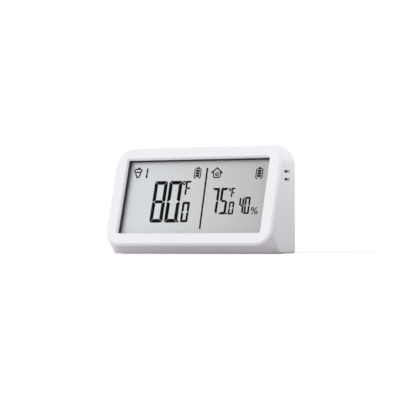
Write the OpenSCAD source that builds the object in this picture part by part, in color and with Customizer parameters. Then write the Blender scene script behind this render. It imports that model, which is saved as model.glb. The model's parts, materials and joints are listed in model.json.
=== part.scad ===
// Desk display for temperature and humidity: a wedge housing with a sloping LCD window,
// vent slots in its right side, and push buttons and a battery door on its back.
// Millimetres. The origin is on the table under the middle of the housing, +Z is up
// and the window faces -Y.

/* [Housing] */
// Overall width
body_w = 120; // [105:1:150]
// Overall depth, from the lowest front edge to the back
body_d = 38; // [34:0.5:48]
// Depth of the top, from the upper edge of the face to the back
top_d = 16.4; // [15.5:0.1:20]
// Height of the front face, measured up its slope
face_h = 66.8; // [62:0.2:76]
// Height of the face's lower edge above the table
face_lift = 5.8; // [5:0.1:8]
// Rise of the top from the face to the back
top_rise = 1.1; // [0.5:0.1:2]
// Corner radius of the front face
face_r = 11; // [9:0.5:12]
// Radius of the two top corners at the back
back_r = 13.4; // [12:0.1:15]
// Radius of the two bottom corners at the back
back_low_r = 1.2; // [0.6:0.1:3]
// Bevel round the front face
face_bevel = 1.5; // [1:0.1:2]
// Bevel round the back edge
back_bevel = 0.8; // [0.4:0.1:1.2]
// Distance from the face's foot back to the front of the base
base_setback = 9.3; // [7:0.1:12]
// Corner radius at the front of the base
base_r = 7; // [5:0.5:10]
// Bevel round the base
base_bevel = 0.6; // [0.3:0.1:1]
// Thickness of the sides, top and base
wall = 2.2; // [1.8:0.1:2.4]
// Thickness of the face round the window
lip_t = 1.9; // [1.5:0.1:2.2]

/* [Window and display] */
// Width of the face's frame beside the window
bezel_side = 8.9; // [8.2:0.1:16]
// Width of the face's frame below the window
bezel_low = 8.6; // [8:0.1:10]
// Width of the face's frame above the window
bezel_top = 7.9; // [7.4:0.1:12]
// Corner radius of the window
window_r = 0.8; // [0.4:0.1:2]
// Bevel round the window
window_bevel = 1.05; // [0.6:0.05:1.3]
// How far the lens and the LCD reach behind the lip
seat_overlap = 1.3; // [1:0.1:1.5]
// Thickness of the clear lens
lens_t = 1; // [0.8:0.1:2]
// Thickness of the foam gasket behind the lens
gasket_t = 2.4; // [1.5:0.1:3]
// Thickness of the front polarizer film
film_t = 0.2; // [0.1:0.05:0.4]
// Thickness of each LCD glass
glass_t = 1.1; // [0.7:0.1:1.3]
// Thickness of the rear reflector film
reflector_t = 0.3; // [0.2:0.05:0.5]
// Contact ledge of the front glass below the rear glass
ledge_h = 2.8; // [2.5:0.1:3]
// Thickness of the rubber contact strip
zebra_t = 2; // [1.5:0.1:2.2]
// Distance of the rubber contact strip's ends in from the LCD's sides
zebra_side = 10.4; // [8:0.2:20]
// Depth of the frame between the LCD and the board
holder_t = 3.2; // [2.5:0.1:4]
// Width of that frame's rails
holder_rail = 6; // [4:0.5:8]

/* [Vent slots] */
// Length of a slot
slot_l = 8; // [6:0.5:9]
// Height of a slot
slot_h = 1.7; // [1:0.1:2.5]
// Distance between the two slots
slot_pitch = 5; // [4:0.5:7]
// Distance of the middle between the slots below the top
slot_drop = 19.9; // [18:0.1:24]
// Distance of the slots' middle from the back
slot_back = 12.4; // [11:0.1:14]

/* [Main board] */
// Thickness of the main board
board_t = 1.6; // [1:0.1:2]
// Gap between the board and the side walls
board_gap = 0.8; // [0.5:0.1:1.2]
// Distance of the board's lower edge up the face
board_low = 5; // [4.5:0.1:6]
// Distance of the board's upper edge below the face's upper edge
board_high = 9.8; // [9:0.1:12]
// Corner radius of the board
board_r = 8; // [6:0.5:9]
// Gap round the key board in the notch in the board's top edge
notch_gap = 3; // [2:0.1:4]
// Diameter of the posts that carry the board
post_d = 4.2; // [3.6:0.1:4.4]
// Gap between these posts and the side walls
post_gap = 0.3; // [0.1:0.1:0.5]
// Distance of the lower posts in from the board's lower edge
post_inset_low = 5; // [4.5:0.5:7]
// Distance of the upper posts in from the board's upper edge
post_inset_high = 2.4; // [2.2:0.1:4]
// Shank diameter of the board screws
board_screw_d = 1.7; // [1.4:0.1:2]
// Head diameter of the board screws
board_head_d = 3.6; // [3:0.1:4]
// Head height of the board screws
board_head_h = 1.3; // [1:0.1:1.6]
// Thread length of the board screws in their posts
board_bite = 5.5; // [4:0.5:7]

/* [Back cover] */
// Thickness of the back cover
cover_t = 2.4; // [2.2:0.1:2.8]
// Gap round the back cover
cover_gap = 0.15; // [0.1:0.05:0.3]
// Diameter of the posts that take the cover screws
cover_post_d = 6; // [5:0.5:6.5]
// Distance of these posts in from the sides
cover_post_side = 10; // [9:0.5:12]
// Distance of these posts from the inside of the top and base
cover_post_rise = 5.6; // [5:0.1:6]
// Thickness of the webs that hold these posts
web_t = 2; // [1.5:0.1:2.5]
// Shank diameter of the cover screws
cover_screw_d = 2.2; // [2:0.1:2.6]
// Head diameter of the cover screws
cover_head_d = 4.4; // [4:0.1:5]
// Head height of the cover screws
cover_head_h = 1.3; // [1:0.1:1.5]
// Depth of the cover screws' heads below the back
cover_head_sink = 0.2; // [0.1:0.1:0.4]
// Thread length of the cover screws in their posts
cover_bite = 4.6; // [4:0.1:5]
// Clearance round a screw's shank
screw_gap = 0.05; // [0.05:0.01:0.1]
// Clearance round a screw's head and through a clearance hole
hole_gap = 0.2; // [0.15:0.05:0.3]

/* [Battery bay] */
// Diameter of a cell
cell_d = 10.5; // [10.1:0.1:10.6]
// Length of a cell with its button
cell_l = 44.5; // [43.3:0.1:44.6]
// Diameter of a cell's button
cell_button_d = 3.8; // [3.2:0.1:4.2]
// Length of a cell's button
cell_button_l = 1; // [0.8:0.1:1.4]
// Clearance round a cell
cell_gap = 0.3; // [0.2:0.05:0.5]
// Distance between the two cells' middles
cell_pitch = 10.9; // [10.8:0.1:11.4]
// Thickness of the bay's walls
bay_wall = 1.4; // [1.2:0.1:1.6]
// Height of the door's lower edge above the table
door_z = 8.1; // [7.5:0.1:10]
// Thickness of the door
door_t = 1.8; // [1.5:0.1:2]
// Gap round the door
door_gap = 0.2; // [0.15:0.05:0.3]
// Corner radius of the door
door_r = 1.5; // [1:0.1:2.5]
// Thickness of the sheet-metal contacts
contact_t = 0.4; // [0.3:0.05:0.5]
// Width of the sheet-metal contacts
contact_w = 7; // [6:0.5:8]
// Length of a contact spring under load
spring_l = 4.2; // [4:0.1:5]
// Wire diameter of a contact spring
spring_wire = 0.6; // [0.5:0.05:0.7]
// Turns of a contact spring
spring_turns = 3; // [2:0.5:3]
// Width of the door's tabs
tab_w = 6; // [4:0.5:8]
// Thickness of the door's tabs
tab_t = 1.1; // [1:0.1:1.2]
// Distance of the tabs from the door's middle
tab_x = 15; // [12:1:20]
// Reach of the tabs behind the cover
tab_reach = 2.2; // [1.5:0.1:2.4]
// Width of the door's snap tongue
tongue_w = 12; // [10:0.5:16]
// Length of the door's snap tongue
tongue_l = 8; // [6:0.5:9]
// Width of the slits beside the tongue
slit_w = 0.8; // [0.6:0.1:1.2]

/* [Buttons] */
// Diameter of a button
button_d = 8; // [6:0.5:9]
// Distance between the buttons
button_pitch = 14; // [13:0.5:15]
// Distance of the buttons' middles below the top
button_drop = 20; // [18.5:0.1:21]
// Gap round a button
button_gap = 0.2; // [0.15:0.05:0.3]
// Depth of a button's face below the back
button_sink = 0.2; // [0.1:0.1:0.5]
// Travel of a button
button_travel = 0.5; // [0.3:0.1:0.5]
// Width of the collar that holds a button in
collar_w = 1; // [0.8:0.1:1.2]
// Thickness of that collar
collar_t = 1.1; // [0.8:0.1:1.3]
// Free gap between the collar and the cover
collar_gap = 0.1; // [0.05:0.05:0.2]
// Side of a tact switch's body
switch_w = 6; // [5:0.5:6.5]
// Height of a tact switch's body
switch_h = 2.5; // [2:0.1:2.8]
// Diameter of a switch's plunger
plunger_d = 3.4; // [3:0.1:3.6]
// Height of a plunger above its switch
plunger_h = 0.7; // [0.6:0.1:1]
// Depth of a plunger inside its switch
plunger_in = 1.1; // [0.8:0.1:1.2]
// Clearance round a plunger
plunger_gap = 0.05; // [0.03:0.01:0.1]
// Thickness of the key board
key_t = 1.2; // [1:0.1:1.6]
// Height of the key board
key_h = 12; // [10:0.5:13]
// Diameter of the key board's posts
key_post_d = 4; // [3.6:0.1:4.4]
// Gap between a key board post and the nearest button's collar
key_post_gap = 1.2; // [0.8:0.1:2]
// Shank diameter of the key board's screws
key_screw_d = 1.7; // [1.4:0.1:2]
// Head diameter of the key board's screws
key_head_d = 3.4; // [3:0.1:3.8]
// Head height of the key board's screws
key_head_h = 1.2; // [1:0.1:1.4]
// Thread length of the key board's screws in their posts
key_bite = 3; // [2.5:0.1:3.5]

/* [Feet] */
// Diameter of a foot
foot_d = 8; // [6:0.5:9]
// Height that a foot lifts the base
foot_gap = 0.6; // [0.4:0.1:1]
// Depth of a foot in its recess
foot_seat = 0.8; // [0.5:0.1:1]
// Clearance round a foot in its recess
foot_play = 0.15; // [0.1:0.05:0.3]
// Distance of the feet in from the sides
foot_side = 10; // [8:0.5:14]
// Distance of the front feet in from the front of the base
foot_front = 7; // [6:0.5:10]
// Distance of the rear feet in from the back
foot_back = 7; // [6.5:0.5:10]

/* [Small electronics] */
// Width of the radio board
rf_w = 18; // [14:0.5:20]
// Height of the radio board
rf_h = 10; // [8:0.5:11]
// Thickness of the radio board
rf_t = 1; // [0.8:0.1:1.2]
// Side of the radio's shield
shield_w = 7; // [6:0.5:8]
// Height of the radio's shield
shield_h = 1.8; // [1.4:0.1:2.2]
// Coil diameter of the radio antenna
antenna_d = 4.6; // [4:0.1:5]
// Wire diameter of the radio antenna
antenna_wire = 0.6; // [0.5:0.1:0.8]
// Distance between the antenna's turns
antenna_pitch = 1.5; // [1.2:0.1:1.8]
// Turns of the antenna
antenna_turns = 7; // [5:1:9]
// Diameter of the sealed controller
blob_d = 13; // [10:0.5:16]
// Height of the sealed controller
blob_h = 1.6; // [1.2:0.1:2]
// Diameter of the crystal
crystal_d = 2; // [1.5:0.1:3]
// Length of the crystal
crystal_l = 6; // [5:0.5:8]
// Diameter of a capacitor
cap_d = 5; // [4:0.5:6]
// Height of a capacitor
cap_h = 7; // [5:0.5:9]
// Side of the humidity sensor
sensor_w = 3; // [2.5:0.1:3.5]
// Height of the humidity sensor
sensor_h = 1; // [0.8:0.1:1.2]
// Outer diameter of a battery lead
lead_d = 1.2; // [1:0.1:1.4]
// Width of the key board's ribbon
ribbon_w = 9; // [6:0.5:12]
// Thickness of the key board's ribbon
ribbon_t = 0.5; // [0.4:0.1:0.7]

/* [Hidden] */
$fn = 32;

// A cut reaches this far past the face that it opens
over = 1;
// Depth of the wedge-shaped slices that the housing is lofted from
slice = 0.4;
// A post or web runs this far into the wall that carries it
root = 0.6;

// The face's own frame: u along +X, v up the slope, depth d inwards from the flat of the face
back_y = body_d / 2;
// Lean of the face back from upright, which takes it from the base's depth to the top's
face_tilt = asin((body_d - top_d) / norm([face_h - face_bevel, face_bevel]))
    - atan2(face_bevel, face_h - face_bevel);
face_y0 = -body_d / 2 - face_bevel * sin(face_tilt);
function face_y(v, d) = face_y0 + v * sin(face_tilt) + d * cos(face_tilt);
function face_z(v, d) = face_lift + v * cos(face_tilt) - d * sin(face_tilt);
function face_point(u, v, d) = [u, face_y(v, d), face_z(v, d)];
// Distance up the face of a point at y and z
function face_v(y, z) = (y - face_y0) * sin(face_tilt) + (z - face_lift) * cos(face_tilt);
// Direction from inside the housing out through the face
face_out = [0, -cos(face_tilt), sin(face_tilt)];

body_top = face_z(face_h, face_bevel) + top_rise;
base_front = face_y0 + base_setback;

// Depths of the display's layers below the face
lens_depth = lip_t;
gasket_depth = lens_depth + lens_t;
film_depth = gasket_depth + gasket_t;
front_glass_depth = film_depth + film_t;
rear_glass_depth = front_glass_depth + glass_t;
reflector_depth = rear_glass_depth + glass_t;
holder_depth = reflector_depth + reflector_t;
board_depth = holder_depth + holder_t;
board_back = board_depth + board_t;

window_w = body_w - 2 * bezel_side;
window_h = face_h - bezel_low - bezel_top;
window_mid = bezel_low + window_h / 2;
lcd_w = window_w + 2 * seat_overlap;
lcd_h = window_h + 2 * seat_overlap;
lcd_low = bezel_low - seat_overlap;
lcd_top = lcd_low + lcd_h;

board_w = body_w - 2 * wall - 2 * board_gap;
board_top = face_h - board_high;
post_u = body_w / 2 - wall - post_gap - post_d / 2;
post_low = board_low + post_inset_low;
post_high = board_top - post_inset_high;

cover_in = back_y - cover_t;
cover_post_x = body_w / 2 - cover_post_side;
cover_post_top = body_top - wall - cover_post_rise;
cover_post_low = foot_gap + wall + cover_post_rise;
// Where the upper and lower cover posts start, just behind the holder and the board
post_clear = 0.8;
cover_post_top_y = face_y(lcd_top, board_depth) + post_clear;
cover_post_low_y = face_y(cover_post_low, board_back) + post_clear;

cell_r = cell_d / 2;
bay_r = cell_r + cell_gap;
bay_l = cell_l + spring_l + 2 * contact_t;
door_in = back_y - door_t;
cell_y = door_in - cell_gap - cell_r;
bay_back = cell_y - bay_r - bay_wall;
lower_cell_z = door_z + bay_wall + bay_r;
upper_cell_z = lower_cell_z + cell_pitch;
door_w = bay_l + 2 * bay_wall;
door_h = 2 * bay_wall + 2 * bay_r + cell_pitch;
// Gap between the tabs and the inside of the cover, and round them in their slots
tab_gap = 0.3;
tab_y = cover_in - tab_gap - tab_t;
// The tabs turn about the door's outer lower edge and need room inwards as far as this
tab_sweep = back_y - norm([back_y - tab_y, tab_reach]) - tab_gap;
// How far the contacts' solder tails stick out of the bay, and the size of a tail
tail_out = 1.2;
tail_w = 2;
tail_t = 0.8;
tail_gap = 0.1;
// Distance of a tail from its cell's middle
tail_off = contact_w / 2 - tail_t;

button_z = body_top - button_drop;
collar_r = button_d / 2 + button_gap + collar_w;
collar_in = cover_in - collar_gap - collar_t;
switch_top = collar_in - plunger_h;
key_out = switch_top - switch_h;
key_in = key_out - key_t;
key_post_x = button_pitch + collar_r + key_post_gap + key_post_d / 2;
// Board left beyond a key post's middle
key_edge = 3;
key_w = 2 * (key_post_x + key_edge);
key_low = button_z - key_h / 2;
notch_w = key_w + 2 * notch_gap;
notch_low = face_v(key_in, key_low) - notch_gap;

foot_x = body_w / 2 - foot_side;
foot_y = [base_front + foot_front, back_y - foot_back];

white = [0.93, 0.93, 0.94];
grey = [0.55, 0.55, 0.56];
dark = [0.12, 0.12, 0.13];
steel = [0.75, 0.75, 0.77];
green = [0.1, 0.35, 0.2];

// Helpers

// Plane shape with round corners, its middle at the origin
module rounded(w, h, r) {
    square([w - 2 * r, h], center = true);
    square([w, h - 2 * r], center = true);
    for (x = [-1, 1], y = [-1, 1]) {
        translate([x * (w / 2 - r), y * (h / 2 - r)]) circle(r);
    }
}

// Plane slot with round ends, long along Y
module obround(l, h) {
    square([h, l - h], center = true);
    for (y = [-1, 1]) translate([0, y * (l - h) / 2]) circle(h / 2);
}

module face_frame() {
    translate([0, face_y0, face_lift]) rotate([90 - face_tilt, 0, 0]) children();
}

// A flat layer parallel to the face, from one depth inwards
module face_layer(depth, t) {
    face_frame() translate([0, 0, -depth - t]) linear_extrude(t) children();
}

// Children drawn in plan, placed in the face's frame with their foot on the board's back
module on_board(u, v) {
    face_frame() translate([u, v, -board_back]) mirror([0, 0, 1]) children();
}

// An upright layer parallel to the back, from y inwards
module back_layer(y, t) {
    translate([0, y, 0]) rotate([90, 0, 0]) linear_extrude(t) children();
}

// A rod along +Y from y
module rod_y(x, y, z, l, d) {
    translate([x, y, z]) rotate([-90, 0, 0]) cylinder(h = l, d = d);
}

// Thin slice of the face's outline for the loft, tapered so that its far side stays inside
module face_slice(depth, inset) {
    w = body_w - 2 * inset;
    h = face_h - 2 * inset;
    face_frame() translate([0, face_h / 2, -depth]) mirror([0, 0, 1])
        linear_extrude(slice, scale = 1 - 2 * slice / h) rounded(w, h, face_r - inset);
}

// Outline of the back, seen from the front, shrunk by inset
module back_outline(inset) {
    w = body_w / 2 - inset;
    low = foot_gap + inset;
    high = body_top - inset;
    top_r = back_r - inset;
    low_r = max(back_low_r - inset, 0.3);
    translate([-w, low + low_r]) square([2 * w, high - low - low_r - top_r]);
    translate([-w + low_r, low]) square([2 * (w - low_r), low_r + over]);
    translate([-w + top_r, high - top_r - over]) square([2 * (w - top_r), top_r + over]);
    for (x = [-1, 1]) {
        translate([x * (w - top_r), high - top_r]) circle(top_r);
        translate([x * (w - low_r), low + low_r]) circle(low_r);
    }
}

// Thin slice of the back's outline for the loft
module back_slice(y, inset) {
    middle = (body_top + foot_gap) / 2;
    translate([0, y, middle]) rotate([90, 0, 0])
        linear_extrude(slice, scale = 1 - 2 * slice / body_top)
            translate([0, -middle]) back_outline(inset);
}

// Round front corners of the base
module base_corners(z, h, r_low, r_high, shift) {
    for (x = [-1, 1]) {
        translate([x * (body_w / 2 - base_r), base_front + base_r + shift, z])
            cylinder(h = h, r1 = r_low, r2 = r_high);
    }
}

// Round tube swept along a path; ref is any direction that the path never runs along
function unit(v) = v / norm(v);
module tube(path, r, sides, ref) {
    n = len(path);
    along = [for (i = [0 : n - 1]) unit(path[min(i + 1, n - 1)] - path[max(i - 1, 0)])];
    points = [
        for (i = [0 : n - 1])
            let (side = unit(cross(along[i], ref)), up = cross(side, along[i]))
                for (j = [0 : sides - 1])
                    path[i] + r * (cos(360 * j / sides) * side + sin(360 * j / sides) * up)
    ];
    walls = [
        for (i = [0 : n - 2], j = [0 : sides - 1])
            let (a = i * sides + j, b = i * sides + (j + 1) % sides)
                each [[a, b, b + sides], [a, b + sides, a + sides]]
    ];
    first = [for (j = [sides - 1 : -1 : 0]) j];
    last = [for (j = [0 : sides - 1]) (n - 1) * sides + j];
    polyhedron(points, concat(walls, [first, last]));
}

function bezier(p, s) =
    pow(1 - s, 3) * p[0] + 3 * s * pow(1 - s, 2) * p[1]
    + 3 * s * s * (1 - s) * p[2] + pow(s, 3) * p[3];

// Smooth path that leaves the first point along dir_a and reaches the last along dir_b
lead_steps = 12;
function curve(a, dir_a, b, dir_b, reach, straight) =
    let (
        a1 = a + straight * dir_a,
        b1 = b - straight * dir_b,
        p = [a1, a1 + reach * dir_a, b1 - reach * dir_b, b1]
    )
    concat([a], [for (i = [0 : lead_steps]) bezier(p, i / lead_steps)], [b]);

// Coil about +X whose radius runs evenly from one end to the other
coil_rings = 10;
function coil(r_start, r_end, l, turns) = [
    for (i = [0 : turns * coil_rings])
        let (s = i / (turns * coil_rings), a = 360 * turns * s, r = r_start + (r_end - r_start) * s)
            [l * s, r * cos(a), r * sin(a)]
];
// Least free gap between neighbouring turns of a coil
function coil_gap(path, wire) = min([
    for (i = [0 : len(path) - 1], j = [0 : len(path) - 1])
        if (j - i >= coil_rings / 2) norm(path[j] - path[i]) - wire
]);

// Cross recess in a screw's head, cut along -Z from the head's top
module cross_recess(d, depth) {
    for (a = [0, 90]) {
        rotate(a) translate([-d / 2, -d / 8, -depth]) cube([d, d / 4, depth + over]);
    }
}

// Pan-head screw along -Z, the underside of its head at the origin
module screw(shank_d, l, head_d, head_h) {
    recess_share = 0.55;
    difference() {
        cylinder(h = head_h, d = head_d);
        translate([0, 0, head_h]) cross_recess(head_d * recess_share, head_h * recess_share);
    }
    translate([0, 0, -l]) cylinder(h = l, d = shank_d);
}

// Front

module housing_outside() {
    hull() {
        face_slice(0, face_bevel);
        face_slice(face_bevel, 0);
        base_corners(foot_gap, base_bevel, base_r - base_bevel, base_r, 0);
        back_slice(back_y - back_bevel, 0);
        back_slice(back_y, back_bevel);
    }
}

module housing_inside() {
    // The skirt's wall is square to its slope, so its foot moves back by part of the wall
    skirt_shift = wall / 4;
    hull() {
        face_slice(lip_t, wall);
        base_corners(foot_gap + wall, slice, base_r - wall, base_r - wall - slice, skirt_shift);
        back_slice(cover_in - root, wall);
        back_slice(back_y + over, wall);
    }
}

module window_cut() {
    flare = window_bevel + over;
    face_frame() translate([0, window_mid, 0]) {
        translate([0, 0, -lip_t - over]) linear_extrude(lip_t + over)
            rounded(window_w, window_h, window_r);
        translate([0, 0, -window_bevel])
            linear_extrude(flare, scale = [1 + 2 * flare / window_w, 1 + 2 * flare / window_h])
                rounded(window_w, window_h, window_r);
    }
}

module vent_cuts() {
    for (s = [-0.5, 0.5]) {
        translate([body_w / 2 - wall - over, back_y - slot_back, body_top - slot_drop + s * slot_pitch])
            rotate([0, 90, 0]) linear_extrude(wall + 2 * over) obround(slot_l, slot_h);
    }
}

module board_posts(d, start, l) {
    for (x = [-1, 1], v = [post_low, post_high]) {
        face_frame() translate([x * post_u, v, -start]) cylinder(h = l, d = d);
    }
}

module cover_posts() {
    for (x = [-1, 1]) {
        rod_y(x * cover_post_x, cover_post_top_y, cover_post_top,
            cover_in - cover_post_top_y, cover_post_d);
        translate([x * cover_post_x - web_t / 2, cover_post_top_y, cover_post_top])
            cube([web_t, cover_in - cover_post_top_y, cover_post_rise + root]);
        rod_y(x * cover_post_x, cover_post_low_y, cover_post_low,
            cover_in - cover_post_low_y, cover_post_d);
        translate([x * cover_post_x - web_t / 2, cover_post_low_y, foot_gap + wall - root])
            cube([web_t, cover_in - cover_post_low_y, cover_post_rise + root]);
    }
}

// Places of the four cover screws
module at_cover_screws(y) {
    for (x = [-1, 1], z = [cover_post_low, cover_post_top]) {
        translate([x * cover_post_x, y, z]) rotate([-90, 0, 0]) children();
    }
}

module front_housing() {
    pilot_spare = 0.4;
    color(white) difference() {
        union() {
            difference() {
                housing_outside();
                housing_inside();
            }
            board_posts(post_d, board_depth, board_depth - lip_t + root);
            cover_posts();
        }
        window_cut();
        vent_cuts();
        board_posts(board_screw_d + 2 * screw_gap, board_depth + over, board_bite + pilot_spare + over);
        at_cover_screws(cover_in - cover_bite - pilot_spare)
            cylinder(h = cover_bite + pilot_spare + over, d = cover_screw_d + 2 * screw_gap);
        feet(foot_gap - over, foot_seat + over, foot_d + 2 * foot_play);
    }
}

module display_lens() {
    color([0.8, 0.85, 0.88, 0.4]) face_layer(lens_depth, lens_t)
        translate([0, window_mid]) rounded(lcd_w, lcd_h, window_r);
}

module lens_gasket() {
    color(dark) face_layer(gasket_depth, gasket_t) translate([0, window_mid]) difference() {
        rounded(lcd_w, lcd_h, window_r);
        rounded(window_w, window_h, window_r);
    }
}

module front_polarizer() {
    color([0.75, 0.77, 0.76]) face_layer(film_depth, film_t)
        translate([0, window_mid]) rounded(lcd_w, lcd_h, window_r);
}

// The front glass reaches below the rear glass, and its ledge carries the contacts
module front_glass() {
    color([0.75, 0.8, 0.8]) face_layer(front_glass_depth, glass_t)
        translate([-lcd_w / 2, lcd_low - ledge_h]) square([lcd_w, lcd_h + ledge_h]);
}

module rear_glass() {
    color([0.72, 0.78, 0.78]) face_layer(rear_glass_depth, glass_t)
        translate([-lcd_w / 2, lcd_low]) square([lcd_w, lcd_h]);
}

module rear_reflector() {
    color([0.8, 0.8, 0.78]) face_layer(reflector_depth, reflector_t)
        translate([-lcd_w / 2, lcd_low]) square([lcd_w, lcd_h]);
}

// Middle of the contact strip, up the face
zebra_v = lcd_low - ledge_h / 2;
zebra_l = lcd_w - 2 * zebra_side;
zebra_gap = 0.1;

module lcd_holder() {
    color([0.88, 0.88, 0.86]) face_layer(holder_depth, holder_t) difference() {
        translate([-lcd_w / 2, lcd_low - ledge_h]) square([lcd_w, lcd_h + ledge_h]);
        translate([-lcd_w / 2 + holder_rail, lcd_low + holder_rail])
            square([lcd_w - 2 * holder_rail, lcd_h - 2 * holder_rail]);
        translate([0, zebra_v])
            square([zebra_l + 2 * zebra_gap, zebra_t + 2 * zebra_gap], center = true);
    }
}

module zebra_strip() {
    color([0.9, 0.55, 0.6]) face_layer(rear_glass_depth, board_depth - rear_glass_depth)
        translate([0, zebra_v]) square([zebra_l, zebra_t], center = true);
}

// Electronics

// Place of the humidity sensor, behind the slots on its own tongue of the board
sensor_edge = 3;
sensor_u = board_w / 2 - sensor_edge;
sensor_v = post_high - post_d - sensor_w / 2;
// Cut that keeps the board's warmth away from the sensor
heat_slot = 1;
heat_slot_l = 8;

module main_board() {
    color(green) face_layer(board_depth, board_t) difference() {
        translate([0, (board_low + board_top) / 2]) rounded(board_w, board_top - board_low, board_r);
        translate([-notch_w / 2, notch_low]) square([notch_w, board_top - notch_low + over]);
        for (x = [-1, 1], v = [post_low, post_high]) {
            translate([x * post_u, v]) circle(d = board_screw_d + 2 * hole_gap);
        }
        translate([board_w / 2 - heat_slot_l, sensor_v - sensor_w - heat_slot])
            square([heat_slot_l + over, heat_slot]);
    }
}

module board_screws() {
    color(steel) for (x = [-1, 1], v = [post_low, post_high]) {
        on_board(x * post_u, v)
            screw(board_screw_d, board_bite + board_t, board_head_d, board_head_h);
    }
}

// Where the two battery leads are soldered to the board
lead_side = 8;
lead_u = -door_w / 2 - lead_side;
positive_lead_v = 26;
negative_lead_v = 14;

// The controller, crystal and radio stand one above the other beside the leads
part_gap = 1;
blob_rise = 17;
crystal_gap = 3.5;
antenna_gap = 2;
blob_u = lead_u - lead_d / 2 - part_gap - blob_d / 2;
blob_v = board_low + blob_rise;
crystal_v = blob_v + blob_d / 2 + crystal_gap + crystal_d / 2;
rf_v = crystal_v + crystal_d / 2 + part_gap + rf_h / 2;
antenna_v = rf_v + rf_h / 2 + antenna_gap;

// The capacitors stand at the board's other side
cap_side = 17;
cap_rise = 15;
cap_pitch = 8;
cap_u = board_w / 2 - cap_side;
cap_v = board_low + cap_rise;

module controller_blob() {
    blob_sphere = (pow(blob_d / 2, 2) + pow(blob_h, 2)) / (2 * blob_h);
    color(dark) on_board(blob_u, blob_v) intersection() {
        translate([0, 0, blob_h - blob_sphere]) sphere(blob_sphere);
        cylinder(h = blob_h + over, d = blob_d + over);
    }
}

module crystal() {
    color(steel) on_board(blob_u - crystal_l / 2, crystal_v)
        translate([0, 0, crystal_d / 2]) rotate([0, 90, 0]) cylinder(h = crystal_l, d = crystal_d);
}

module capacitors() {
    groove = 0.3;
    color([0.15, 0.2, 0.35]) for (i = [0, 1]) {
        on_board(cap_u, cap_v + i * cap_pitch) difference() {
            cylinder(h = cap_h, d = cap_d);
            translate([0, 0, cap_d / 4]) rotate_extrude()
                translate([cap_d / 2, 0]) circle(groove);
        }
    }
}

module sensor_chip() {
    window_share = 0.3;
    color(dark) on_board(sensor_u, sensor_v) difference() {
        translate([-sensor_w / 2, -sensor_w / 2, 0]) cube([sensor_w, sensor_w, sensor_h]);
        translate([0, 0, sensor_h / 2]) cylinder(h = sensor_h, d = sensor_w * window_share);
    }
}

module rf_board() {
    color(green) on_board(blob_u, rf_v)
        translate([-rf_w / 2, -rf_h / 2, 0]) cube([rf_w, rf_h, rf_t]);
}

module rf_shield() {
    color(steel) on_board(blob_u, rf_v)
        translate([-shield_w / 2, -shield_w / 2, rf_t]) cube([shield_w, shield_w, shield_h]);
}

module rf_antenna() {
    wire_r = antenna_wire / 2;
    coil_r = antenna_d / 2 - wire_r;
    l = antenna_pitch * antenna_turns;
    path = coil(coil_r, coil_r, l, antenna_turns);
    echo(antenna_turn_gap = coil_gap(path, antenna_wire));
    color([0.8, 0.6, 0.3]) on_board(blob_u - l / 2, antenna_v + antenna_d / 2)
        translate([0, 0, antenna_d / 2]) {
            tube(path, wire_r, 6, [1, 0, 0]);
        }
}

// Back

module cover_outline() {
    back_outline(wall + cover_gap);
}

module bay_cut() {
    for (z = [lower_cell_z, upper_cell_z]) {
        translate([-bay_l / 2, cell_y, z]) rotate([0, 90, 0]) cylinder(h = bay_l, r = bay_r);
        translate([-bay_l / 2, cell_y, z - bay_r])
            cube([bay_l, door_in - cell_y + over, 2 * bay_r]);
    }
    link_plate(tail_gap);
}

module tab_cuts() {
    for (x = [-1, 1]) {
        translate([x * tab_x - tab_w / 2 - tab_gap, tab_sweep, door_z - tab_reach - tab_gap])
            cube([tab_w + 2 * tab_gap, cover_in - tab_sweep, tab_reach + tab_gap + bay_wall]);
        translate([x * tab_x - tab_w / 2 - tab_gap, tab_sweep, door_z - door_gap])
            cube([tab_w + 2 * tab_gap, door_in - tab_sweep + tab_gap, door_gap + bay_wall + over]);
    }
}

// Solder tails of the two contacts at the bay's left end, grown by gap
module tails(gap) {
    for (z = [lower_cell_z - tail_off, upper_cell_z + tail_off]) {
        translate([-bay_l / 2 - bay_wall - tail_out, cell_y - tail_w / 2 - gap, z - tail_t / 2 - gap])
            cube([bay_wall + tail_out, tail_w + 2 * gap, tail_t + 2 * gap]);
    }
}

module back_cover() {
    pilot_spare = 0.4;
    scoop_r = 9;
    scoop_depth = 1;
    color(white) difference() {
        union() {
            back_layer(back_y, cover_t) cover_outline();
            translate([-door_w / 2, bay_back, door_z]) cube([door_w, door_in - bay_back, door_h]);
            for (x = [-1, 1]) {
                rod_y(x * key_post_x, key_out, button_z, cover_in - key_out + root, key_post_d);
            }
        }
        back_layer(back_y + over, door_t + over) translate([0, door_z + door_h / 2])
            rounded(door_w + 2 * door_gap, door_h + 2 * door_gap, door_r + door_gap);
        bay_cut();
        tab_cuts();
        tails(tail_gap);
        translate([0, back_y + scoop_r - scoop_depth, door_z + door_h]) sphere(scoop_r);
        for (i = [-1 : 1]) {
            rod_y(i * button_pitch, cover_in - over, button_z, cover_t + 2 * over,
                button_d + 2 * button_gap);
        }
        for (x = [-1, 1]) {
            rod_y(x * key_post_x, key_out - over, button_z, key_bite + pilot_spare + over,
                key_screw_d + 2 * screw_gap);
        }
        at_cover_screws(cover_in - over)
            cylinder(h = cover_t + over, d = cover_screw_d + 2 * hole_gap);
        at_cover_screws(back_y - cover_head_sink - cover_head_h)
            cylinder(h = cover_t, d = cover_head_d + 2 * hole_gap);
    }
}

module cover_screws() {
    under_head = back_y - cover_head_sink - cover_head_h;
    color(steel) at_cover_screws(under_head)
        screw(cover_screw_d, under_head - cover_in + cover_bite, cover_head_d, cover_head_h);
}

module key_board() {
    color(green) difference() {
        back_layer(key_out, key_t) translate([0, button_z]) square([key_w, key_h], center = true);
        for (x = [-1, 1]) {
            rod_y(x * key_post_x, key_in - over, button_z, key_t + 2 * over,
                key_screw_d + 2 * hole_gap);
        }
    }
}

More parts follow.
